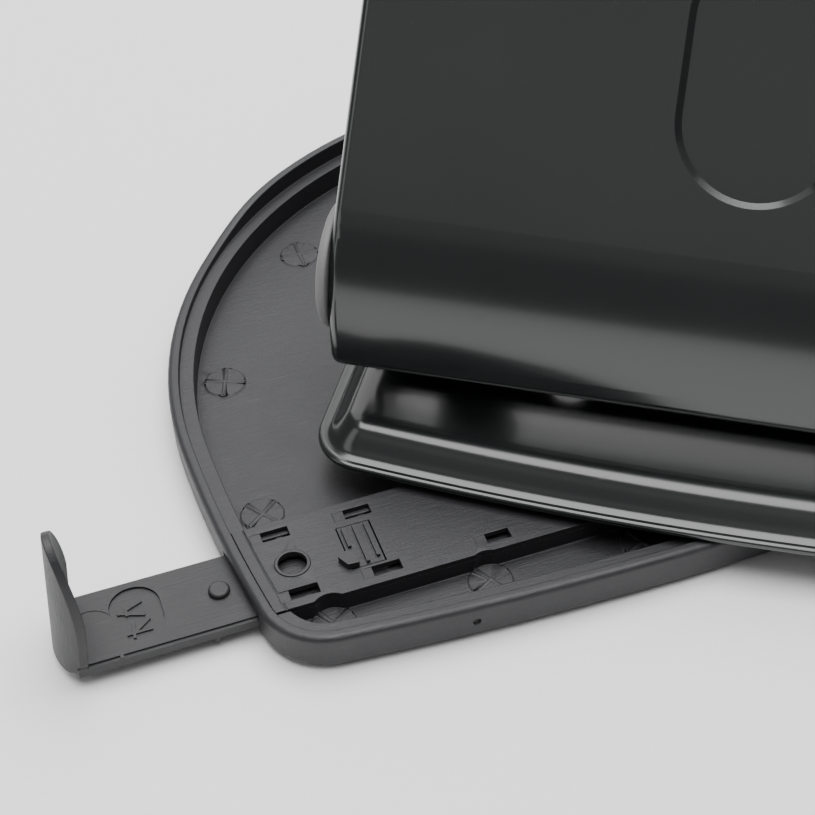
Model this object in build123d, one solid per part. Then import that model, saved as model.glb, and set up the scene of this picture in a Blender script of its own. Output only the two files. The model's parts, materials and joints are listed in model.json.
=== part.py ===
from build123d import *
import os
from math import atan2, cos, degrees, radians, sin, sqrt

# Two-hole office punch on a swing-out confetti tray. Millimetres, +Z up.
# The origin is under the middle of the tray, on the plane it stands on. +X runs along the tray's
# straight front, towards the right-hand end. +Y points to the rounded back.

# ---- tray
tray_width = 137.0
rear_centre_y = -11.35
side_radius = 245.0
front_y = -57.15
front_radius = 543.0
tray_corner = 10.0
foot_stand = 0.6
foot_radius = 4.0
rim_top = 6.5
rim_width = 1.7
rim_rise = 1.9
rise_start_y = 27.0
rise_end_y = 46.0
ledge_top = 5.45
ledge_width = 2.2
bin_floor = 1.4
channel_floor = 2.3
bottom_round = 1.2
rim_round = 0.9

# ---- crossed pads on the tray floor as (x, y, turn), left half; the right half mirrors them
rear_pads = [(-38.2, 31.4, 0), (-57.9, 5.2, -20), (-60.1, -24.1, -54)]
front_pads = [(-56.6, -48.15, -60), (-34.0, -48.55, -60), (-11.4, -49.65, -64)]
pad_radius = 3.15
pad_height = 0.25
pad_rib = 0.45
rib_height = 0.2
pad_relief = 2.9
dimple = (-38.65, -55.77, 3.6)
dimple_radius = 0.55
dimple_depth = 0.4

# ---- guide cover over the front of the tray
cover_top = 5.6
cover_thickness = 0.9
cover_front_y = -46.0
cover_back_y = -29.7
cover_gap = 0.25
line_depth = 0.15
line_width = 0.25
end_line_inset = 3.45
pocket_length = 1.6
catch_reach = 0.45
catch_drop = 0.35
collar_x = -59.4
collar_radius = 2.5
collar_bore = 2.0
slot_width = 1.85
far_slots = [(-60.15, 3.9), (-48.1, 3.8), (-31.0, 3.6)]
near_slots = [(-59.25, 4.1), (-47.4, 4.05), (-31.05, 3.5)]
far_slot_y = -32.1
near_slot_y = -43.65

# ---- springy detent tongue in the cover
window_x = (-52.0, -47.0)
window_y = (-42.35, -34.2)
tongue_gap = 0.2
click_ridges = [(-51.1, -38.4), (-49.5, -41.9), (-47.85, -41.3)]
ridge_width = 0.45
ridge_height = 0.4
ridge_end_y = -34.7
release_foot = [(-53.4, -40.4), (-52.5, -42.2), (-50.9, -42.3), (-50.9, -39.9), (-52.3, -39.7)]
release_top = 6.7

# ---- paper guide: flat strip with an upright tab
strip_width = 12.7
strip_thickness = 1.64
strip_y = -38.3
strip_clear = 0.1
tab_x = -90.4
strip_end_x = 21.6
pip_x = -69.9
pip_radius = 1.5
pip_height = 0.75
pip_round = 0.45
peg_x = -71.9
peg_y = -43.9
peg_radius = 0.6
peg_reach = 0.95
letter_a = [
    ((-83.71, -35.73), (-80.37, -37.04)),
    ((-83.42, -38.19), (-80.37, -37.04)),
    ((-82.61, -36.16), (-82.58, -37.62)),
]
figure_4 = [
    ((-83.19, -40.97), (-79.95, -40.95)),
    ((-82.33, -39.14), (-79.95, -40.95)),
    ((-82.43, -39.05), (-82.11, -41.75)),
]
tab_thickness = 1.1
tab_bulge = 2.5
tab_lean = 5.5
tab_shoulder = 8.0
tab_foot_round = 3.0
tab_round = 0.2
tab_top = 23.1
tab_bottom = 1.7
guide_travel_in = 21.0
mark_x = -81.3
mark_y = -37.75
mark_size = (7.0, 9.5)
mark_corner = 3.4
mark_depth = 0.35
glyph_height = 0.25
glyph_stroke = 0.4
edge_step = 0.5
edge_drop = 0.3
ejector_x = -87.6
ejector_radius = 3.2
ejector_depth = 0.08

# ---- swivel between tray and base; the base stands turned about it
swivel_y = -48.4
base_turn = 33.4
boss_radius = 3.5
boss_top = 6.6
boss_sink = 2.05
stud_radius = 2.0
stud_low = 1.0
stud_collar = 2.6
collar_height = 0.5
clip_radius = 3.2
clip_seat = 1.6
clip_low = 1.5
clip_high = 2.0
clip_mouth = 0.9
spacer_radius = 2.9
spacer_top = 9.3
running = 0.05

# ---- pressed base; y is measured from the swivel axis from here on
base_half = 58.5
lip_y = -9.4
base_back_y = 84.0
base_bow_radius = 500.0
base_front_corner = 8.0
base_back_corner = 25.0
base_lip_z = 6.9
base_top = 11.85
# the skirt's section as (height over the lip, inset from the lip's outline)
skirt_outside = [
    (0.0, 0.0), (0.95, 0.0), (1.15, 0.4), (1.5, 1.7), (2.0, 2.3), (3.9, 4.1), (4.5, 4.9), (4.95, 6.2)]
skirt_inside = [
    (-0.1, 1.25), (0.1, 1.25), (0.34, 2.0), (0.75, 2.7), (1.17, 3.17), (3.07, 4.97), (3.5, 5.7),
    (3.75, 6.5)]
sheet = 1.2

# ---- punching group
pin_x = 40.0
pin_y = 21.45
pin_radius = 2.75
pin_tip_z = 16.95
pin_top_z = 36.45
paper_edge_distance = 12.0
plate = 1.5
throat = 3.5
plate_front_y = 12.0
rivet_x = 24.0
rivet_ys = (17.0, 29.0)
rivet_radius = 1.5
rivet_foot = 2.6
rivet_foot_height = 0.8
rivet_head = 2.4
rivet_head_height = 0.4
rivet_slack = 0.02
rivet_reach = 2.8
cheek_half = 53.3
cheek_eye = 6.4
cheek_neck = 6.1
cheek_drop = 1.9
cheek_knee_z = 22.0
cheek_knee_back = 18.0
cheek_front_lean = 1.7
die_radius = 4.5
bush_radius = 4.2
bush_top = 23.0
cup_radius = 6.6
cup_low = 33.2
cup_thickness = 1.6
spring_radius = 5.5
spring_wire = 0.5
spring_turns = 6
pin_chamfer = 0.4
notch_radius = 1.4
notch_offset = 0.6
bush_wall = 0.8

# ---- hinge and handle
hinge_y = 10.1
hinge_z = 31.4
axle_radius = 2.5
cap_radius = 9.2
cap_outer = 57.6
cap_chamfer = 0.5
cap_gap = 0.15
axle_short = 0.4
washer_radius = 5.0
handle_half = 56.0
nose_y = 0.45
nose_bottom = 19.9
hem_radius = 2.2
side_round = 1.5
nose_start_z = 24.0
nose_radius = 30.0
handle_slope = 50.0
handle_straight = 57.6
end_radius = 5.0
rod_z = 39.0
rod_radius = 2.5
rod_end_radius = 1.8
dish_half_width = 11.4
dish_length = 36.0
dish_start = 7.2
dish_depth = 1.0
dish_taper = 42

# ---- sizes that follow
tray_half = tray_width / 2
cover_bottom = cover_top - cover_thickness
strip_low = channel_floor + 0.01
strip_top = strip_low + strip_thickness
slot_top = strip_top + pip_height + strip_clear
pip_groove_top = strip_top + pip_height + 0.3
plate_low = base_top + plate
guide_low = plate_low + throat
guide_top = guide_low + plate
stop_y = pin_y + paper_edge_distance


def prism(face, low, high):
    """A face drawn on the ground, raised between two heights."""
    return extrude(Pos(0, 0, low) * face, amount=high - low)


def post(x, y, radius, low, high):
    return Pos(x, y, (low + high) / 2) * Cylinder(radius, high - low)


def block(x_low, x_high, y_low, y_high, low, high):
    size = Box(x_high - x_low, y_high - y_low, high - low)
    return Pos((x_low + x_high) / 2, (y_low + y_high) / 2, (low + high) / 2) * size


def both_sides(shape):
    return shape + mirror(shape, about=Plane.YZ)


def cross_rod(y, z, radius, x_low, x_high):
    """A round bar along X."""
    return Pos((x_low + x_high) / 2, y, z) * Rot(0, 90, 0) * Cylinder(radius, x_high - x_low)


def stand(shape):
    """From the closed punch, drawn about its swivel, to where it stands, turned open."""
    return Pos(0, swivel_y, 0) * Rot(0, 0, -base_turn) * shape


# ------------------------------------------------------------------ tray

def tray_outline(inset):
    """Rear arc, slack sides and a bowed front, all moved in by the same amount."""
    rear = tray_half - inset
    side_centre_x = tray_half - side_radius
    front_centre_y = front_y + front_radius

    def side_x(y):
        return side_centre_x + sqrt((side_radius - inset) ** 2 - (y - rear_centre_y) ** 2)

    def low_y(x):
        return front_centre_y - sqrt((front_radius - inset) ** 2 - x ** 2)

    x = rear
    for _ in range(12):
        x = side_x(low_y(x))
    y = low_y(x)
    middle_y = (y + rear_centre_y) / 2
    edges = [
        ThreePointArc((rear, rear_centre_y), (0, rear_centre_y + rear), (-rear, rear_centre_y)),
        ThreePointArc((-rear, rear_centre_y), (-side_x(middle_y), middle_y), (-x, y)),
        ThreePointArc((-x, y), (0, low_y(0)), (x, y)),
        ThreePointArc((x, y), (side_x(middle_y), middle_y), (rear, rear_centre_y)),
    ]
    face = make_face(edges)
    corners = face.vertices().filter_by_position(Axis.Y, y - 1, y + 1)
    return fillet(corners, tray_corner - inset)


def above_rim():
    """Everything over the rim's crest, which rises smoothly towards the back."""
    high = rim_top + rim_rise
    far = tray_width
    middle = (rise_start_y + rise_end_y) / 2
    crest = [
        Line((-far, rim_top), (rise_start_y, rim_top)),
        Bezier((rise_start_y, rim_top), (middle, rim_top), (middle, high), (rise_end_y, high)),
        Line((rise_end_y, high), (far, high)),
        Line((far, high), (far, 2 * high)),
        Line((far, 2 * high), (-far, 2 * high)),
        Line((-far, 2 * high), (-far, rim_top)),
    ]
    return extrude(Plane.YZ * make_face(crest), amount=far, both=True)


def crossed_pad(x, y, turn, floor):
    """A low round boss on the floor with two ribs crossing over it."""
    pad = post(x, y, pad_radius, floor - 0.2, floor + pad_height)
    rib = Box(2 * pad_radius - 0.2, pad_rib, 2 * rib_height)
    for angle in (turn, turn + 90):
        pad += Pos(x, y, floor + pad_height) * Rot(0, 0, angle) * rib
    return pad


def confetti_tray():
    outer = prism(tray_outline(0), foot_stand, rim_top + 2 * rim_rise) - above_rim()
    outer = fillet(outer.edges().group_by(Axis.Z)[0], bottom_round)
    crest = outer.edges().filter_by(lambda e: e.bounding_box().min.Z > rim_top - 0.01)
    outer = fillet(crest, rim_round)
    high = rim_top + 2 * rim_rise
    tray = outer - prism(tray_outline(rim_width), ledge_top, high)
    inner = tray_outline(rim_width + ledge_width)
    behind = block(-tray_half, tray_half, cover_back_y, tray_half, bin_floor, high)
    tray -= prism(inner, channel_floor, high)
    tray -= prism(inner, bin_floor, high) & behind
    # seat of the cover, cut into the ledge at both ends
    seat = block(-tray_half, tray_half, cover_front_y - cover_gap, cover_back_y, cover_bottom, high)
    tray -= prism(tray_outline(rim_width), cover_bottom, high) & seat
    # two rails carry the cover and steer the strip
    strip_near = strip_y - strip_width / 2 - strip_clear
    strip_far = strip_y + strip_width / 2 + strip_clear
    rails = block(-tray_half, tray_half, cover_front_y, strip_near, channel_floor, cover_bottom)
    rails += block(-tray_half, tray_half, strip_far, cover_back_y, bin_floor, cover_bottom)
    tray += rails & prism(inner, bin_floor, cover_bottom)
    # boss for the swivel stud, with a sunk underside for its clip
    tray += post(0, swivel_y, boss_radius, bin_floor, boss_top)
    tray -= post(0, swivel_y, stud_radius + running, 0, boss_top)
    tray -= post(0, swivel_y, boss_radius + 0.1, 0, boss_sink)
    # way out for the strip, its pip and its peg
    tray -= block(-tray_half - 1, -tray_half + 8, strip_near, strip_far, channel_floor, slot_top)
    peg_low = strip_low - peg_reach - 0.25
    groove_end = peg_x + guide_travel_in + 2
    tray -= block(-tray_half - 1, groove_end, peg_y - 1.1, peg_y + 1.1, peg_low, channel_floor)
    for x, y, turn in rear_pads:
        tray += both_sides(crossed_pad(x, y, turn, bin_floor))
    for x, y, turn in front_pads:
        tray -= both_sides(post(x, y, pad_relief, channel_floor, cover_bottom + 0.01))
        tray += both_sides(crossed_pad(x, y, turn, channel_floor))
    tray -= Pos(dimple) * Rot(90, 0, 0) * Cylinder(dimple_radius, 2 * dimple_depth)
    return tray


def guide_cover():
    outline = tray_outline(rim_width + cover_gap)
    plate_solid = prism(outline, cover_bottom, cover_top)
    cover = plate_solid & block(
        -tray_half, tray_half, cover_front_y, cover_back_y, cover_bottom, cover_top)
    cover += post(collar_x, strip_y, collar_radius, cover_bottom, cover_top + 0.2)
    cover -= post(collar_x, strip_y, collar_bore, 0, 2 * cover_top)
    high = 2 * cover_top
    for slots, y in ((far_slots, far_slot_y), (near_slots, near_slot_y)):
        for x, length in slots:
            cover -= both_sides(Pos(x, y, cover_top) * Box(length, slot_width, 4))
            # sunk land beside the slot and a small catch on its near edge
            end = x - length / 2
            low_y = y - slot_width / 2
            cover -= both_sides(block(
                end - pocket_length, end + 0.1, low_y, low_y + slot_width, cover_top - line_depth, high))
            cover += both_sides(block(
                x - 0.1, x + 0.9, low_y - 0.1, low_y + catch_reach, cover_bottom, cover_top - catch_drop))
    # fine line parallel to the rim at both ends
    line = prism(tray_outline(end_line_inset), cover_top - line_depth, high)
    line -= prism(tray_outline(end_line_inset + line_width), 0, high)
    cover -= line - block(-57, 57, -tray_half, tray_half, 0, high)
    for x, y, _ in front_pads:
        cover -= both_sides(post(x, y, pad_relief, 0, high))
    cover -= post(0, swivel_y, boss_radius + 0.3, 0, high)
    # window for the detent and a shallow groove under the plate for the passing pip
    cover -= block(*window_x, *window_y, 0, high)
    groove_half = pip_radius + 0.3
    cover -= block(
        -tray_half, -52, strip_y - groove_half, strip_y + groove_half, 0, pip_groove_top)
    return cover


def guide_detent():
    """Springy tongue in the cover's window, with click ridges and a release peg."""
    low = pip_groove_top
    left = window_x[0] + tongue_gap
    right = window_x[1] - tongue_gap
    tongue = block(left, right, window_y[0] + tongue_gap, window_y[1], low, cover_top - 0.1)
    for x, y in click_ridges:
        half = ridge_width / 2
        tongue += block(x - half, x + half, y, ridge_end_y, low, cover_top + ridge_height)
    foot = make_face(Polyline(*release_foot, release_foot[0]))
    over_cover = prism(foot, cover_top + running, release_top)
    return tongue + over_cover + (prism(foot, low, release_top) & tongue_column())


def tongue_column():
    """The space over the tongue, where the release peg is joined to it."""
    left = window_x[0] + tongue_gap
    return block(left, 0, window_y[0] + tongue_gap, 0, 0, 2 * cover_top)


def rubber_feet():
    """Seven round pads let into the tray's underside."""
    places = [(0, 0), (-38.2, 31.65), (38.2, 31.65), (-60.2, -24.85), (60.2, -24.85)]
    places += [(-34.0, -48.55), (34.0, -48.55)]
    pads = Part()
    for x, y in places:
        pads += post(x, y, foot_radius, 0, foot_stand)
    return pads


# ------------------------------------------------------------------ paper guide

def stroke(start, end, width, low, high):
    """One straight stroke of a glyph, square ended."""
    run = Vector(end[0] - start[0], end[1] - start[1])
    angle = Vector(1, 0).get_signed_angle(run)
    centre = ((start[0] + end[0]) / 2, (start[1] + end[1]) / 2, (low + high) / 2)
    return Pos(centre) * Rot(0, 0, angle) * Box(run.length + width * 0.6, width, high - low)


def format_mark():
    """The sunk lozenge that carries the sheet format."""
    outline = RectangleRounded(*mark_size, mark_corner)
    return Pos(mark_x, mark_y, 0) * prism(outline, strip_top - mark_depth, strip_top + 1)


def format_glyphs():
    """The sheet format in raised strokes, read with its top towards +X."""
    low = strip_top - mark_depth
    glyphs = Part()
    for start, end in letter_a + figure_4:
        glyphs += stroke(start, end, glyph_stroke, low - 0.1, low + glyph_height)
    return glyphs


def guide_tab():
    """Upright finger plate, curved in plan, leaning in a little and pointed like a leaf."""
    half = strip_width / 2 + 0.05
    radius = (half ** 2 + tab_bulge ** 2) / (2 * tab_bulge)
    centre_x = tab_x - 0.1 - tab_bulge + radius
    far = 2 * tab_top
    shell = post(centre_x, strip_y, radius, -tab_top, far)
    shell -= post(centre_x, strip_y, radius - tab_thickness, -tab_top, far)
    shell &= block(tab_x - 4, tab_x + 1.0, strip_y - half, strip_y + half, -tab_top, far)
    shell = Pos(tab_x, 0, strip_low) * Rot(0, tab_lean, 0) * Pos(-tab_x, 0, -strip_low) * shell
    foot = Rectangle(2 * half, tab_shoulder - tab_bottom)
    foot = fillet(foot.vertices().group_by(Axis.Y)[0], tab_foot_round)
    tip = Ellipse(half, tab_top - tab_shoulder) & Pos(0, tab_top / 2) * Rectangle(far, tab_top)
    leaf = Pos(strip_y, tab_shoulder) * tip + Pos(strip_y, (tab_bottom + tab_shoulder) / 2) * foot
    tab = shell & extrude(Plane.YZ * leaf, amount=2 * tray_half, both=True)
    return fillet(tab.edges(), tab_round)


def paper_guide():
    near = strip_y - strip_width / 2
    far = strip_y + strip_width / 2
    strip = block(tab_x - 0.3, strip_end_x, near, far, strip_low, strip_top)
    end_corners = strip.edges().filter_by(Axis.Z).group_by(Axis.X)[-1]
    strip = fillet(end_corners, 2.5)
    # ejector mark, lowered near edge with one tick left standing, and the format
    strip -= post(ejector_x, strip_y, ejector_radius, strip_top - ejector_depth, strip_top + 1)
    step = strip_top - edge_drop
    strip -= block(tab_x + 1, strip_end_x + 1, near - 1, near + edge_step, step, strip_top + 1)
    strip += block(-85.0, -84.5, near, near + edge_step + 0.1, step - 0.1, strip_top)
    strip -= format_mark()
    strip += format_glyphs()
    strip += guide_tab()
    pip = post(pip_x, strip_y + 0.2, pip_radius, strip_low, strip_top + pip_height)
    strip += fillet(pip.edges().group_by(Axis.Z)[-1], pip_round)
    strip += post(peg_x, peg_y, peg_radius, strip_low - peg_reach, step)
    return strip


# ------------------------------------------------------------------ base, drawn about the swivel

def base_outline(inset):
    half = base_half - inset
    front = lip_y + inset
    back = base_back_y - inset
    bow = base_bow_radius - inset
    corner_y = front + bow - sqrt(bow ** 2 - half ** 2)
    edges = [
        ThreePointArc((-half, corner_y), (0, front), (half, corner_y)),
        Line((half, corner_y), (half, back)),
        Line((half, back), (-half, back)),
        Line((-half, back), (-half, corner_y)),
    ]
    face = make_face(edges)
    face = fillet(face.vertices().group_by(Axis.Y)[0], base_front_corner - inset)
    return fillet(face.vertices().group_by(Axis.Y)[-1], base_back_corner - inset)


def stepped_bowl(steps):
    """A stack of frustums of the base's outline, from (height, inset) pairs, low to high."""
    bowl = None
    for (low, inset), (high, next_inset) in zip(steps, steps[1:]):
        lean = degrees(atan2(next_inset - inset, high - low))
        ring = extrude(Pos(0, 0, low) * base_outline(inset), amount=high - low, taper=lean)
        bowl = ring if bowl is None else bowl + ring
    return bowl


def base_shell():
    """Pressed sheet: a flat top whose skirt flares out to a turned-down lip."""
    lip = base_lip_z
    outer = stepped_bowl([(lip + height, inset) for height, inset in skirt_outside])
    hollow = stepped_bowl([(lip + height, inset) for height, inset in skirt_inside])
    base = outer - hollow
    base -= both_sides(post(pin_x, pin_y, die_radius, 0, 2 * base_top))
    for x, y in rivet_places():
        base -= post(x, y, rivet_radius, 0, 2 * base_top)
    return base


def rivet_places():
    return [(x, y) for x in (-rivet_x, rivet_x) for y in rivet_ys]


def frame_rivets():
    rivets = Part()
    under = base_top - sheet - rivet_slack
    foot = under - rivet_foot_height
    over = plate_low + rivet_slack
    for x, y in rivet_places():
        rivet = post(x, y, rivet_radius - running, foot, over)
        rivet += post(x, y, rivet_foot, foot, under)
        rivet += post(x, y, rivet_head, over, over + rivet_head_height)
        rivets += rivet
    return rivets


def swivel_stud():
    """Turned stud under the base's top, shouldered over the spacer and grooved for the clip."""
    stud = post(0, 0, stud_radius, stud_low, base_top - sheet)
    stud += post(0, 0, stud_collar, spacer_top, spacer_top + collar_height)
    groove = post(0, 0, stud_radius + 1, clip_low, clip_high)
    groove -= post(0, 0, clip_seat, clip_low, clip_high)
    return stud - groove


def swivel_clip():
    ring = post(0, 0, clip_radius, clip_low, clip_high)
    ring -= post(0, 0, clip_seat, 0, 2 * clip_high)
    return ring - block(-clip_mouth, clip_mouth, 0, 2 * clip_radius, 0, 2 * clip_high)


def swivel_spacer():
    low = boss_top + running
    spacer = post(0, 0, spacer_radius, low, spacer_top)
    return spacer - post(0, 0, stud_radius, 0, 2 * spacer_top)


# ------------------------------------------------------------------ punching group

def cheek(x):
    """One upright side of the frame, reaching up to the handle's axle."""
    eye = Pos(hinge_y, hinge_z) * Circle(cheek_eye)
    back = stop_y + plate
    neck_z = hinge_z - cheek_drop
    web = make_face(Polyline(
        (plate_front_y, base_top), (back, base_top), (back, guide_top),
        (cheek_knee_back, cheek_knee_z), (hinge_y + cheek_neck, neck_z),
        (hinge_y - cheek_neck, neck_z), (plate_front_y - cheek_front_lean, cheek_knee_z),
        (plate_front_y, base_top)))
    return Pos(x, 0, 0) * extrude(Plane.YZ * (web + eye), amount=plate)


def punch_frame():
    """Folded steel: a plate on the base, the paper stop, the guide plate and two cheeks."""
    stop_back = stop_y + plate
    frame = block(-cheek_half, cheek_half, plate_front_y, stop_back, base_top, plate_low)
    frame += block(-cheek_half, cheek_half, stop_y, stop_back, base_top, guide_top)
    frame += block(-cheek_half, cheek_half, plate_front_y, stop_back, guide_low, guide_top)
    side = cheek(cheek_half - plate)
    # the throat is cut on through the cheeks, so that a wide sheet can pass
    sheet_way = block(0, tray_width, 0, stop_y, plate_low, guide_low)
    frame += both_sides(side - sheet_way)
    frame -= cross_rod(hinge_y, hinge_z, axle_radius, -tray_half, tray_half)
    frame -= both_sides(post(pin_x, pin_y, die_radius, 0, plate_low))
    frame -= both_sides(post(pin_x, pin_y, bush_radius - bush_wall, guide_low, guide_top))
    for x, y in rivet_places():
        frame -= post(x, y, rivet_radius, 0, plate_low)
        frame -= post(x, y, rivet_reach, guide_low, guide_top)
    return frame


def die_bush(x):
    die = post(x, pin_y, die_radius, base_top - sheet, plate_low)
    return die - post(x, pin_y, pin_radius + running, 0, 2 * base_top)


def guide_bush(x):
    """Turned sleeve that keeps a pin upright; its spigot fills the hole in the guide plate."""
    bush = post(x, pin_y, bush_radius - bush_wall, guide_low, guide_top)
    bush += post(x, pin_y, bush_radius, guide_top, bush_top)
    return bush - post(x, pin_y, pin_radius + running, 0, 2 * bush_top)


def punch_pin(x):
    """Hollow-ground pin: its cutting end is notched to two points."""
    pin = post(x, pin_y, pin_radius, pin_tip_z, pin_top_z)
    pin = chamfer(pin.edges().group_by(Axis.Z)[-1], pin_chamfer)
    notch = Pos(x, pin_y - notch_offset, pin_tip_z) * Rot(0, 90, 0)
    notch *= Cylinder(notch_radius, 4 * pin_radius)
    return pin - notch


def spring_cup(x):
    cup = post(x, pin_y, cup_radius, cup_low, cup_low + cup_thickness)
    cup = chamfer(cup.edges().group_by(Axis.Z)[-1], cap_chamfer)
    return cup - post(x, pin_y, pin_radius, 0, 2 * cup_low)


def pin_spring(x):
    """Open helical spring between the guide plate and the cup."""
    low = guide_top + spring_wire
    high = cup_low - spring_wire
    line = Helix(pitch=(high - low) / spring_turns, height=high - low, radius=spring_radius)
    section = Plane(origin=line @ 0, z_dir=line % 0) * Circle(spring_wire)
    return Pos(x, pin_y, low) * sweep(section, path=line)


# ------------------------------------------------------------------ hinge

def hinge_axle():
    return cross_rod(hinge_y, hinge_z, axle_radius, -cap_outer + axle_short, cap_outer - axle_short)


def hinge_washer(side):
    low = cheek_half
    high = handle_half - sheet - running
    ring = cross_rod(hinge_y, hinge_z, washer_radius, low, high)
    ring -= cross_rod(hinge_y, hinge_z, axle_radius, low - 1, high + 1)
    return ring if side > 0 else mirror(ring, about=Plane.YZ)


def hinge_cap(side):
    """Round moulded cap pressed over the end of the axle."""
    low = handle_half + cap_gap
    cap = cross_rod(hinge_y, hinge_z, cap_radius, low, cap_outer)
    cap = chamfer(cap.edges().group_by(Axis.X)[-1], cap_chamfer)
    cap -= cross_rod(hinge_y, hinge_z, axle_radius, low - 1, cap_outer - axle_short)
    return cap if side > 0 else mirror(cap, about=Plane.YZ)


# ------------------------------------------------------------------ handle

def handle_region(inset, lower):
    """The handle's side view, its pressed skin moved in by `inset`, closed along `lower`."""
    start = (nose_y + hem_radius + 1.0, nose_bottom + inset)
    hem = Line(start, (nose_y + hem_radius, nose_bottom + inset))
    turn = JernArc(hem @ 1, (-1, 0), hem_radius - inset, -90)
    rise = Line(turn @ 1, (nose_y + inset, nose_start_z))
    nose = JernArc(rise @ 1, (0, 1), nose_radius - inset, handle_slope - 90)
    top = PolarLine(nose @ 1, handle_straight, handle_slope)
    end = JernArc(top @ 1, top % 1, end_radius - inset, -125)
    tail = PolarLine(end @ 1, 2.0, handle_slope - 125)
    close = Polyline([tail @ 1] + lower + [Vector(*start)])
    return make_face([hem, turn, rise, nose, top, end, tail] + close.edges())


def slope_plane():
    """Plane on the handle's flat top, origin where the nose's curve ends, local Y up the slope."""
    slope = radians(handle_slope)
    y = nose_y + nose_radius * (1 - sin(slope))
    z = nose_start_z + nose_radius * cos(slope)
    return Plane(origin=(0, y, z), x_dir=(1, 0, 0), z_dir=(0, -sin(slope), cos(slope)))


def handle_shell():
    edge = [(24.5, 33.0), (12.0, 21.0)]
    hem_end = nose_y + hem_radius + 1.0
    way_out = [(60.0, 70.0), (34.0, 26.0), (14.0, 12.0), (hem_end, 12.0)]
    body = extrude(Plane.YZ * handle_region(0, edge), amount=handle_half, both=True)
    hollow = extrude(Plane.YZ * handle_region(sheet, way_out), amount=handle_half - sheet, both=True)
    rims = body.edges().filter_by(lambda e: abs(abs(e.center().X) - handle_half) < 0.01)
    skin = rims.filter_by(lambda e: not on_lower_edge(e))
    body = fillet(skin, side_round)
    handle = body - hollow
    # thumb dish, pressed into the flat top
    centre = dish_start + dish_length / 2
    plane = slope_plane()
    boss = Pos(0, centre) * SlotOverall(dish_length, 2 * dish_half_width, rotation=90)
    wall = offset(boss, sheet)
    handle += extrude(plane * wall, amount=-(sheet + dish_depth)) & body
    handle -= extrude(plane * boss, amount=-dish_depth, taper=dish_taper)
    handle -= cross_rod(hinge_y, hinge_z, axle_radius + running, -tray_half, tray_half)
    handle -= cross_rod(pin_y, rod_z, rod_end_radius, -tray_half, tray_half)
    return handle


def on_lower_edge(edge):
    """True for the open lower edges of the side walls."""
    centre = edge.center()
    straight = edge.geom_type == GeomType.LINE
    under_top = centre.Z < centre.Y * 1.1 + 24 and centre.Y > nose_y + hem_radius + 0.5
    return straight and under_top


def press_rod():
    """Steel bar across the handle that bears on both pins; its ends are shouldered and riveted."""
    inner = handle_half - sheet
    rod = cross_rod(pin_y, rod_z, rod_radius, -inner, inner)
    return rod + cross_rod(pin_y, rod_z, rod_end_radius, -handle_half, handle_half)


tray_parts = {
    "confetti_tray": confetti_tray(),
    "guide_cover": guide_cover(),
    "guide_detent": guide_detent(),
    "rubber_feet": rubber_feet(),
    "paper_guide": paper_guide(),
}
punch_parts = {
    "base_shell": base_shell(),
    "frame_rivets": frame_rivets(),
    "swivel_stud": swivel_stud(),
    "swivel_clip": swivel_clip(),
    "swivel_spacer": swivel_spacer(),
    "punch_frame": punch_frame(),
    "hinge_axle": hinge_axle(),
    "handle_shell": handle_shell(),
    "press_rod": press_rod(),
}
for word, side in (("left", -1), ("right", 1)):
    punch_parts["die_bush_" + word] = die_bush(side * pin_x)
    punch_parts["guide_bush_" + word] = guide_bush(side * pin_x)
    punch_parts["punch_pin_" + word] = punch_pin(side * pin_x)
    punch_parts["spring_cup_" + word] = spring_cup(side * pin_x)
    punch_parts["pin_spring_" + word] = pin_spring(side * pin_x)
    punch_parts["hinge_washer_" + word] = hinge_washer(side)
    punch_parts["hinge_cap_" + word] = hinge_cap(side)

os.makedirs("parts", exist_ok=True)
for name, shape in tray_parts.items():
    export_step(shape, "parts/" + name + ".step")
for name, shape in punch_parts.items():
    export_step(stand(shape), "parts/" + name + ".step")
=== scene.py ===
import json
import math

import bmesh
import bpy
from mathutils import Matrix, Vector


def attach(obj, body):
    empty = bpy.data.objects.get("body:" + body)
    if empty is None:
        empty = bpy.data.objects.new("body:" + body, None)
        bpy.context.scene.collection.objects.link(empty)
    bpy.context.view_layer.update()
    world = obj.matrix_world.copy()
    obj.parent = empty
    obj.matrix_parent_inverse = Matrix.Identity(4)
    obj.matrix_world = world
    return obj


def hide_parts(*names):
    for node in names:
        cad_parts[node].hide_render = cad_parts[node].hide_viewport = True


MM = 0.001

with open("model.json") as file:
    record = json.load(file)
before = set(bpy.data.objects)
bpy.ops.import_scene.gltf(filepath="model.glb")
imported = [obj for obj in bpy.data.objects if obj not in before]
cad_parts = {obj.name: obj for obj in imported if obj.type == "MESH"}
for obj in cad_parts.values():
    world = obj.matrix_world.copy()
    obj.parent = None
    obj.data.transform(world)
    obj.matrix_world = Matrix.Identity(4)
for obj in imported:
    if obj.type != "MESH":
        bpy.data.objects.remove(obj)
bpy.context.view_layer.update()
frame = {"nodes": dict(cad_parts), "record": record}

# ---- the camera: where it stands, in millimetres, and how it is turned
CAMERA_PLACE = (-92.6, -207.7, 198.2)
CAMERA_HEADING = 22.14
CAMERA_PITCH = 43.11
CAMERA_ROLL = 0.63
CAMERA_LENS = 81.6
CAMERA_SHIFT = (-0.155, -0.0257)
SENSOR_WIDTH = 36.0
NEAR_CLIP = 0.01

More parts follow.
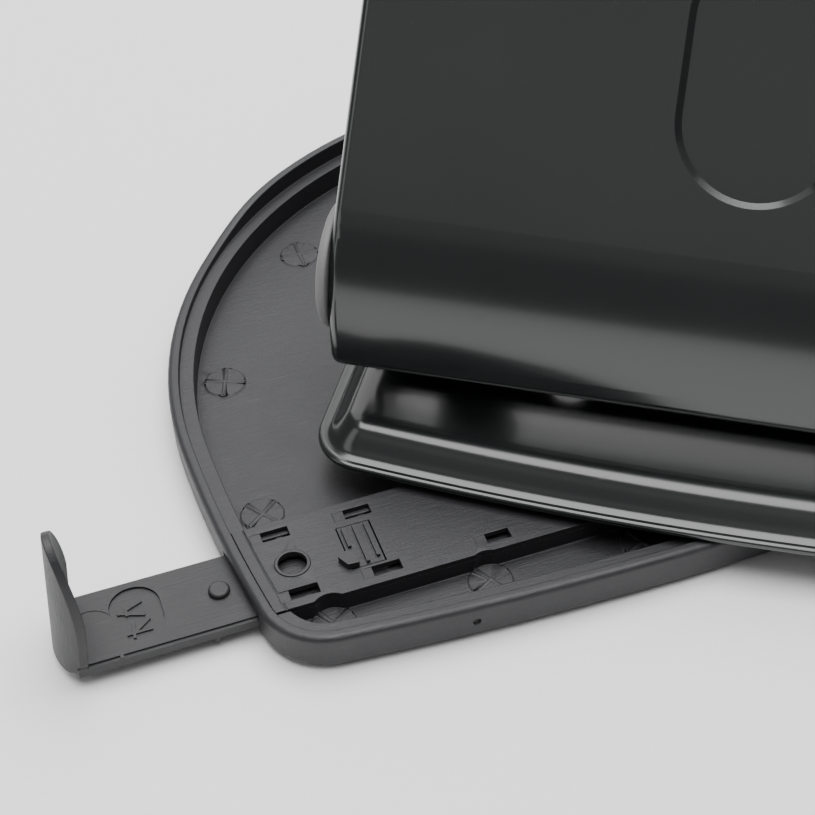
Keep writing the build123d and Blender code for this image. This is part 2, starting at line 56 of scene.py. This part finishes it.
# ---- the studio, in metres; a softbox is its name, place, aim, size and brightness
FLOOR_HALF = 6.0
SKY_STRENGTH = 0.18
SOFTBOXES = [
    ("back_wall", (0.55, 1.35, 1.05), (0, 0, 0.1), (2.8, 1.9), 1.45),
    ("overhead", (0.10, 0.08, 1.25), (0, 0, 0), (1.4, 1.35), 6.2),
    ("front_fill", (-0.56, -0.67, 0.90), (0, 0, 0), (1.1, 0.22), 0.22),
    ("front_fill_wide", (-0.55, -0.66, 0.93), (0, 0, 0), (1.4, 0.70), 0.16),
    ("left_strip", (-1.0, 0.05, 0.42), (0, 0, 0.03), (0.3, 0.9), 1.3),
]

# ---- how hard edges are eased: widths in millimetres, the weld in metres, the angle in degrees
EASED = {"confetti_tray": 0.16, "guide_cover": 0.09, "hinge_cap_left": 0.35, "hinge_cap_right": 0.35,
         "punch_frame": 0.15, "press_rod": 0.2}
WELD_DISTANCE = 0.000003
EASE_ANGLE = 38
EASE_SEGMENTS = 2
FLAT_WEIGHT = 100


# ------------------------------------------------------------------ shader maths

class Number:
    """A node's output that adds Math nodes when it is used in a sum."""

    def __init__(self, recipe, socket):
        self.recipe = recipe
        self.socket = socket

    def combine(self, operation, left, right):
        return self.recipe.add("ShaderNodeMath", {"operation": operation}, {0: left, 1: right})

    def __add__(self, other):
        return self.combine("ADD", self, other)

    def __radd__(self, other):
        return self.combine("ADD", other, self)

    def __sub__(self, other):
        return self.combine("SUBTRACT", self, other)

    def __rsub__(self, other):
        return self.combine("SUBTRACT", other, self)

    def __mul__(self, other):
        return self.combine("MULTIPLY", self, other)

    def __rmul__(self, other):
        return self.combine("MULTIPLY", other, self)

    def __gt__(self, other):
        return self.combine("GREATER_THAN", self, other)


class Recipe:
    """A material being written: every node comes from add()."""

    def __init__(self, name):
        self.material = bpy.data.materials.new(name)
        self.material.use_nodes = True
        self.tree = self.material.node_tree
        self.shader = self.tree.nodes["Principled BSDF"]

    def add(self, kind, settings=None, values=None, output=0):
        node = self.tree.nodes.new(kind)
        for key, value in (settings or {}).items():
            setattr(node, key, value)
        self.fill(node, values or {})
        return Number(self, node.outputs[output])

    def fill(self, node, values):
        for key, value in values.items():
            if isinstance(value, Number):
                self.tree.links.new(value.socket, node.inputs[key])
            else:
                node.inputs[key].default_value = value

    def place(self):
        return self.add("ShaderNodeTexCoord", output="Object")

    def noise(self, scale, detail=2.0, rough=0.5, stretch=None):
        """Smooth noise from 0 to 1; scale is how many lumps there are in a metre."""
        where = self.place()
        if stretch:
            where = self.add("ShaderNodeMapping", values={"Vector": where, "Scale": stretch})
        values = {"Vector": where, "Scale": scale, "Detail": detail, "Roughness": rough}
        return self.add("ShaderNodeTexNoise", values=values)

    def blend(self, factor, first, second):
        values = {"Factor": factor, 6: first, 7: second}
        return self.add("ShaderNodeMix", {"data_type": "RGBA"}, values, output=2)

    def bump(self, height, distance, strength=1.0, normal=None):
        values = {"Height": height, "Distance": distance, "Strength": strength}
        if normal:
            values["Normal"] = normal
        return self.add("ShaderNodeBump", values=values)

    def surface(self, **values):
        self.fill(self.shader, {key.replace("_", " "): value for key, value in values.items()})
        return self.material


def rgb(red, green, blue):
    return (red, green, blue, 1.0)


def moulded_plastic(name, dark, light, rough, drag=(1.0, 6.0, 1.0)):
    """Near-black moulded plastic: spark-eroded grain, drag marks, scuffs and dull patches."""
    recipe = Recipe(name)
    grain = recipe.noise(scale=3000, detail=4.0, rough=0.7)
    patches = recipe.noise(scale=55, detail=6.0, rough=0.65)
    marks = recipe.noise(scale=420, detail=4.0, rough=0.7, stretch=drag)
    scuffs = recipe.noise(scale=1000, detail=2.0, stretch=(0.10, 1.0, 1.0)) > 0.69
    colour = recipe.blend(patches, dark, light)
    roughness = rough + patches * 0.26 + grain * 0.14 + marks * 0.12 - scuffs * 0.08
    normal = recipe.bump(marks, distance=0.00012, strength=0.5)
    normal = recipe.bump(grain, distance=0.00005, strength=0.7, normal=normal)
    return recipe.surface(Base_Color=colour, Roughness=roughness, Normal=normal, IOR=1.5)


def black_enamel():
    """Stoved gloss enamel on pressed steel: slight orange peel, dust nibs, hairline scratches."""
    recipe = Recipe("black_enamel")
    peel = recipe.noise(scale=520, detail=1.0)
    haze = recipe.noise(scale=45, detail=4.0)
    nibs = recipe.noise(scale=2300, detail=0.0) > 0.82
    hairs = recipe.noise(scale=700, detail=2.0, stretch=(0.05, 1.0, 1.0)) > 0.74
    colour = recipe.blend(haze, rgb(0.0065, 0.0078, 0.0080), rgb(0.0105, 0.0125, 0.0125))
    roughness = 0.16 + haze * 0.08 + hairs * 0.05
    normal = recipe.bump(peel, distance=0.000012, strength=0.10)
    normal = recipe.bump(nibs, distance=0.00001, strength=0.35, normal=normal)
    return recipe.surface(
        Base_Color=colour, Roughness=roughness, Normal=normal,
        IOR=1.62, Coat_Weight=0.25, Coat_Roughness=0.10)


def plated_steel(name, dull, bright, rough, grain_along):
    """Rolled sheet or turned bar with fine lines and a slightly cloudy plating."""
    recipe = Recipe(name)
    lines = recipe.noise(scale=900, detail=3.0, stretch=grain_along)
    cloud = recipe.noise(scale=120, detail=4.0)
    colour = recipe.blend(cloud, dull, bright)
    roughness = rough + lines * 0.14 + cloud * 0.06
    normal = recipe.bump(lines, distance=0.000004, strength=0.4)
    return recipe.surface(Base_Color=colour, Roughness=roughness, Normal=normal, Metallic=1.0)


def soft_rubber():
    """Dull rubber with a fine grain."""
    recipe = Recipe("pad_rubber")
    grain = recipe.noise(scale=3000, detail=3.0)
    colour = recipe.blend(grain, rgb(0.012, 0.012, 0.012), rgb(0.024, 0.024, 0.024))
    roughness = 0.75 + grain * 0.15
    normal = recipe.bump(grain, distance=0.00002, strength=0.5)
    return recipe.surface(Base_Color=colour, Roughness=roughness, Normal=normal)


# ------------------------------------------------------------------ meshes

def new_piece(name, mesh_data):
    piece = bpy.data.objects.new(name, mesh_data)
    bpy.context.scene.collection.objects.link(piece)
    return piece


def shade(piece, material, angle):
    """Smooth shading that stays crisp over the given angle, in one material."""
    piece.data.materials.append(material)
    piece.data.shade_smooth()
    piece.data.set_sharp_from_angle(angle=math.radians(angle))


def ease_edges(piece, width):
    """Join the doubled corners of a CAD mesh and round its hard edges slightly."""
    weld = piece.modifiers.new("weld", "WELD")
    weld.merge_threshold = WELD_DISTANCE
    easing = piece.modifiers.new("eased edges", "BEVEL")
    easing.width = width * MM
    easing.segments = EASE_SEGMENTS
    easing.limit_method = "ANGLE"
    easing.angle_limit = math.radians(EASE_ANGLE)
    easing.use_clamp_overlap = False
    weighing = piece.modifiers.new("flat faces stay flat", "WEIGHTED_NORMAL")
    weighing.mode = "FACE_AREA"
    weighing.weight = FLAT_WEIGHT


def body_name(node):
    """The body that a CAD node moves with."""
    for body, nodes in frame["record"]["behaviour"]["bodies"].items():
        if node in nodes:
            return body


def slot_name(node):
    """The record's material slot of a CAD node."""
    for entry in frame["record"]["subparts"]:
        if entry["node"] == node:
            return entry["material_slot"]


def take_over(piece, node):
    """The new piece stands for a CAD node: it moves with the node's body, and the node is hidden."""
    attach(piece, body_name(node))
    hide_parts(node)


# ------------------------------------------------------------------ pressed base, in millimetres
# drawn about the swivel as the closed punch, then turned to where it stands

SWIVEL_Y = -48.4
BASE_TURN = math.radians(-33.4)
BASE_HALF = 58.5
BASE_FRONT = -9.4
BASE_BACK = 84.0
BOW_RADIUS = 500.0
FRONT_CORNER = 8.0
BACK_CORNER = 25.0
LIP_Z = 6.9
SHEET = 1.2
# skirt section as (height over the lip, inset from the lip), from the lip's edge to the flat top
SKIRT = [(0.0, 0.35), (0.06, 0.12), (0.25, 0.0), (0.65, 0.0), (0.88, 0.1), (1.05, 0.4), (1.18, 0.85),
         (1.36, 1.4), (1.66, 1.95), (2.15, 2.5), (2.9, 3.2), (3.6, 3.87), (4.15, 4.5), (4.52, 5.15),
         (4.76, 5.9), (4.9, 6.8), (4.95, 7.8)]
DIE_RADIUS = 4.5
RIVET_RADIUS = 1.5
DIE_HOLES = [(x, 21.45, DIE_RADIUS) for x in (-40.0, 40.0)]
RIVET_HOLES = [(x, y, RIVET_RADIUS) for x in (-24.0, 24.0) for y in (17.0, 29.0)]
FRONT_CORNER_POINTS = 14
BOW_POINTS = 26
BACK_CORNER_POINTS = 20
HOLE_SIDES = 32
SKIRT_STEPS = 3
LEAST_STEP = 0.02
CREASE_ANGLE = 40


def arc(centre, radius, start, end, count):
    """Points along an arc, each with its outward direction; angles in degrees."""
    points = []
    for step in range(count):
        angle = math.radians(start + (end - start) * step / (count - 1))
        out = Vector((math.cos(angle), math.sin(angle)))
        points.append((Vector(centre) + radius * out, out))
    return points


def base_rim():
    """The lip's outline, counter-clockwise, as points with outward directions."""
    bow_y = BASE_FRONT + BOW_RADIUS
    corner_x = BASE_HALF - FRONT_CORNER
    corner_y = bow_y - math.sqrt((BOW_RADIUS - FRONT_CORNER) ** 2 - corner_x ** 2)
    lean = math.degrees(math.atan2(corner_x, bow_y - corner_y))
    back = (BASE_HALF - BACK_CORNER, BASE_BACK - BACK_CORNER)
    rim = arc((-corner_x, corner_y), FRONT_CORNER, 180, 270 - lean, FRONT_CORNER_POINTS)
    rim += arc((0, bow_y), BOW_RADIUS, 270 - lean, 270 + lean, BOW_POINTS)[1:-1]
    rim += arc((corner_x, corner_y), FRONT_CORNER, 270 + lean, 360, FRONT_CORNER_POINTS)
    rim += arc(back, BACK_CORNER, 0, 90, BACK_CORNER_POINTS)
    rim += arc((-back[0], back[1]), BACK_CORNER, 90, 180, BACK_CORNER_POINTS)
    return rim


def smoothed(points, steps):
    """Catmull-Rom curve through the points."""
    curve = []
    ends = [points[0]] + points + [points[-1]]
    for index in range(1, len(ends) - 2):
        p0, p1, p2, p3 = (Vector(ends[index + shift]) for shift in (-1, 0, 1, 2))
        for step in range(steps):
            t = step / steps
            curve.append(0.5 * ((2 * p1) + (p2 - p0) * t + (2 * p0 - 5 * p1 + 4 * p2 - p3) * t ** 2
                                + (3 * p1 - p0 - 3 * p2 + p3) * t ** 3))
    curve.append(Vector(points[-1]))
    return curve


def inner_side(outer):
    """The same section moved in by the sheet's thickness, kept above the lip's edge."""
    inner = []
    for index, point in enumerate(outer):
        before = outer[max(index - 1, 0)]
        after = outer[min(index + 1, len(outer) - 1)]
        along = (after - before).normalized()
        moved = point + SHEET * Vector((-along.y, along.x))
        height = max(moved.x, 0.0)
        if not inner or (moved.y > inner[-1].y + LEAST_STEP and height >= inner[-1].x):
            inner.append(Vector((height, moved.y)))
    return inner


def to_place(x, y, z):
    """From the closed punch's drawing to where it stands, in metres."""
    point = Matrix.Rotation(BASE_TURN, 3, "Z") @ Vector((x, y, z))
    return (point + Vector((0, SWIVEL_Y, 0))) * MM


def pressed_base():
    """The base as one sheet: skirt and rim swept round the outline, two flats with their holes."""
    shape = bmesh.new()
    rim = base_rim()
    outer = smoothed(SKIRT, SKIRT_STEPS)
    inner = inner_side(outer)
    section = inner[::-1] + outer
    loops = []
    for height, inset in section:
        ring = [(point - out * inset) for point, out in rim]
        loops.append([shape.verts.new(to_place(p.x, p.y, LIP_Z + height)) for p in ring])
    for low, high in zip(loops, loops[1:]):
        for index in range(len(rim)):
            after = (index + 1) % len(rim)
            shape.faces.new((low[index], low[after], high[after], high[index]))
    levels = []
    for height, loop in ((section[-1][0], loops[-1]), (section[0][0], loops[0])):
        rings = [loop]
        for x, y, radius in DIE_HOLES + RIVET_HOLES:
            ring = arc((x, y), radius, 0, 360, HOLE_SIDES + 1)[:-1]
            rings.append([shape.verts.new(to_place(p.x, p.y, LIP_Z + height)) for p, _ in ring])
        edges = []
        for ring in rings:
            for index, corner in enumerate(ring):
                pair = (corner, ring[(index + 1) % len(ring)])
                edges.append(shape.edges.get(pair) or shape.edges.new(pair))
        bmesh.ops.triangle_fill(shape, use_beauty=True, use_dissolve=False, edges=edges)
        levels.append(rings[1:])
    for upper, lower in zip(*levels):
        for index in range(len(upper)):
            after = (index + 1) % len(upper)
            shape.faces.new((upper[index], upper[after], lower[after], lower[index]))
    bmesh.ops.recalc_face_normals(shape, faces=shape.faces)
    mesh = bpy.data.meshes.new("pressed_base")
    shape.to_mesh(mesh)
    shape.free()
    piece = new_piece("pressed_base", mesh)
    shade(piece, enamel, CREASE_ANGLE)
    take_over(piece, "base_shell")


# ------------------------------------------------------------------ finishes

tray_plastic = moulded_plastic("tray_plastic", rgb(0.010, 0.010, 0.012), rgb(0.021, 0.021, 0.024), 0.24)
guide_plastic = moulded_plastic(
    "guide_plastic", rgb(0.011, 0.011, 0.013), rgb(0.021, 0.021, 0.023), 0.26, drag=(0.4, 6.0, 1.0))
cap_plastic = moulded_plastic("cap_plastic", rgb(0.13, 0.13, 0.13), rgb(0.19, 0.19, 0.19), 0.36)
nylon = moulded_plastic("nylon", rgb(0.62, 0.60, 0.54), rgb(0.72, 0.70, 0.64), 0.35)
enamel = black_enamel()
zinc = plated_steel("zinc_plate", rgb(0.40, 0.40, 0.38), rgb(0.58, 0.58, 0.55), 0.26, (1, 8, 8))
tool_steel = plated_steel("tool_steel", rgb(0.30, 0.30, 0.31), rgb(0.46, 0.46, 0.47), 0.22, (6, 6, 1))
spring_steel = plated_steel("spring_steel", rgb(0.25, 0.25, 0.26), rgb(0.36, 0.36, 0.37), 0.30, (6, 6, 1))
brass = plated_steel("bush_brass", rgb(0.58, 0.42, 0.19), rgb(0.74, 0.56, 0.28), 0.24, (1, 1, 8))
rubber = soft_rubber()

FINISHES = {
    "moulded_black": tray_plastic,
    "pad_rubber": rubber,
    "black_enamel": enamel,
    "zinc_plate": zinc,
    "tool_steel": tool_steel,
    "bush_brass": brass,
    "spring_steel": spring_steel,
    "cap_plastic": cap_plastic,
    "nylon": nylon,
}

for node, piece in frame["nodes"].items():
    finish = guide_plastic if node == "paper_guide" else FINISHES[slot_name(node)]
    for index in range(len(piece.material_slots)):
        piece.material_slots[index].material = finish

for node, width in EASED.items():
    ease_edges(frame["nodes"][node], width)

pressed_base()


# ------------------------------------------------------------------ stage, light and camera

def add_floor():
    """A wide sheet of pale paper under the object."""
    mesh = bpy.data.meshes.new("floor")
    half = FLOOR_HALF
    corners = [(-half, -half, 0), (half, -half, 0), (half, half, 0), (-half, half, 0)]
    mesh.from_pydata(corners, [], [(0, 1, 2, 3)])
    floor = new_piece("floor", mesh)
    recipe = Recipe("floor_paper")
    fibre = recipe.noise(scale=900, detail=2.0)
    colour = recipe.blend(fibre, rgb(0.86, 0.86, 0.86), rgb(0.90, 0.90, 0.90))
    floor.data.materials.append(recipe.surface(Base_Color=colour, Roughness=0.9))


def add_softbox(name, place, aim, size, brightness):
    """A rectangular light of even brightness, turned to face a point."""
    data = bpy.data.lights.new(name, "AREA")
    data.shape = "RECTANGLE"
    data.size, data.size_y = size
    data.energy = brightness * math.pi * size[0] * size[1]
    light = bpy.data.objects.new(name, data)
    bpy.context.scene.collection.objects.link(light)
    turn = (Vector(aim) - Vector(place)).to_track_quat("-Z", "Y").to_matrix().to_4x4()
    light.matrix_world = Matrix.Translation(place) @ turn


def add_sky():
    """Dim surroundings, so that the black parts stay black."""
    world = bpy.data.worlds.new("studio")
    world.use_nodes = True
    bpy.context.scene.world = world
    back = world.node_tree.nodes["Background"]
    back.inputs["Color"].default_value = rgb(1, 1, 1)
    back.inputs["Strength"].default_value = SKY_STRENGTH


def add_camera():
    data = bpy.data.cameras.new("camera")
    data.sensor_width = SENSOR_WIDTH
    data.lens = CAMERA_LENS
    data.shift_x, data.shift_y = CAMERA_SHIFT
    data.clip_start = NEAR_CLIP
    camera = bpy.data.objects.new("camera", data)
    bpy.context.scene.collection.objects.link(camera)
    turn = Matrix.Rotation(math.radians(-CAMERA_HEADING), 4, "Z")
    tilt = Matrix.Rotation(math.radians(90 - CAMERA_PITCH), 4, "X")
    roll = Matrix.Rotation(math.radians(CAMERA_ROLL), 4, "Z")
    place = Matrix.Translation(Vector(CAMERA_PLACE) * MM)
    camera.matrix_world = place @ turn @ tilt @ roll
    bpy.context.scene.camera = camera


add_floor()
add_sky()
for softbox in SOFTBOXES:
    add_softbox(*softbox)
add_camera()
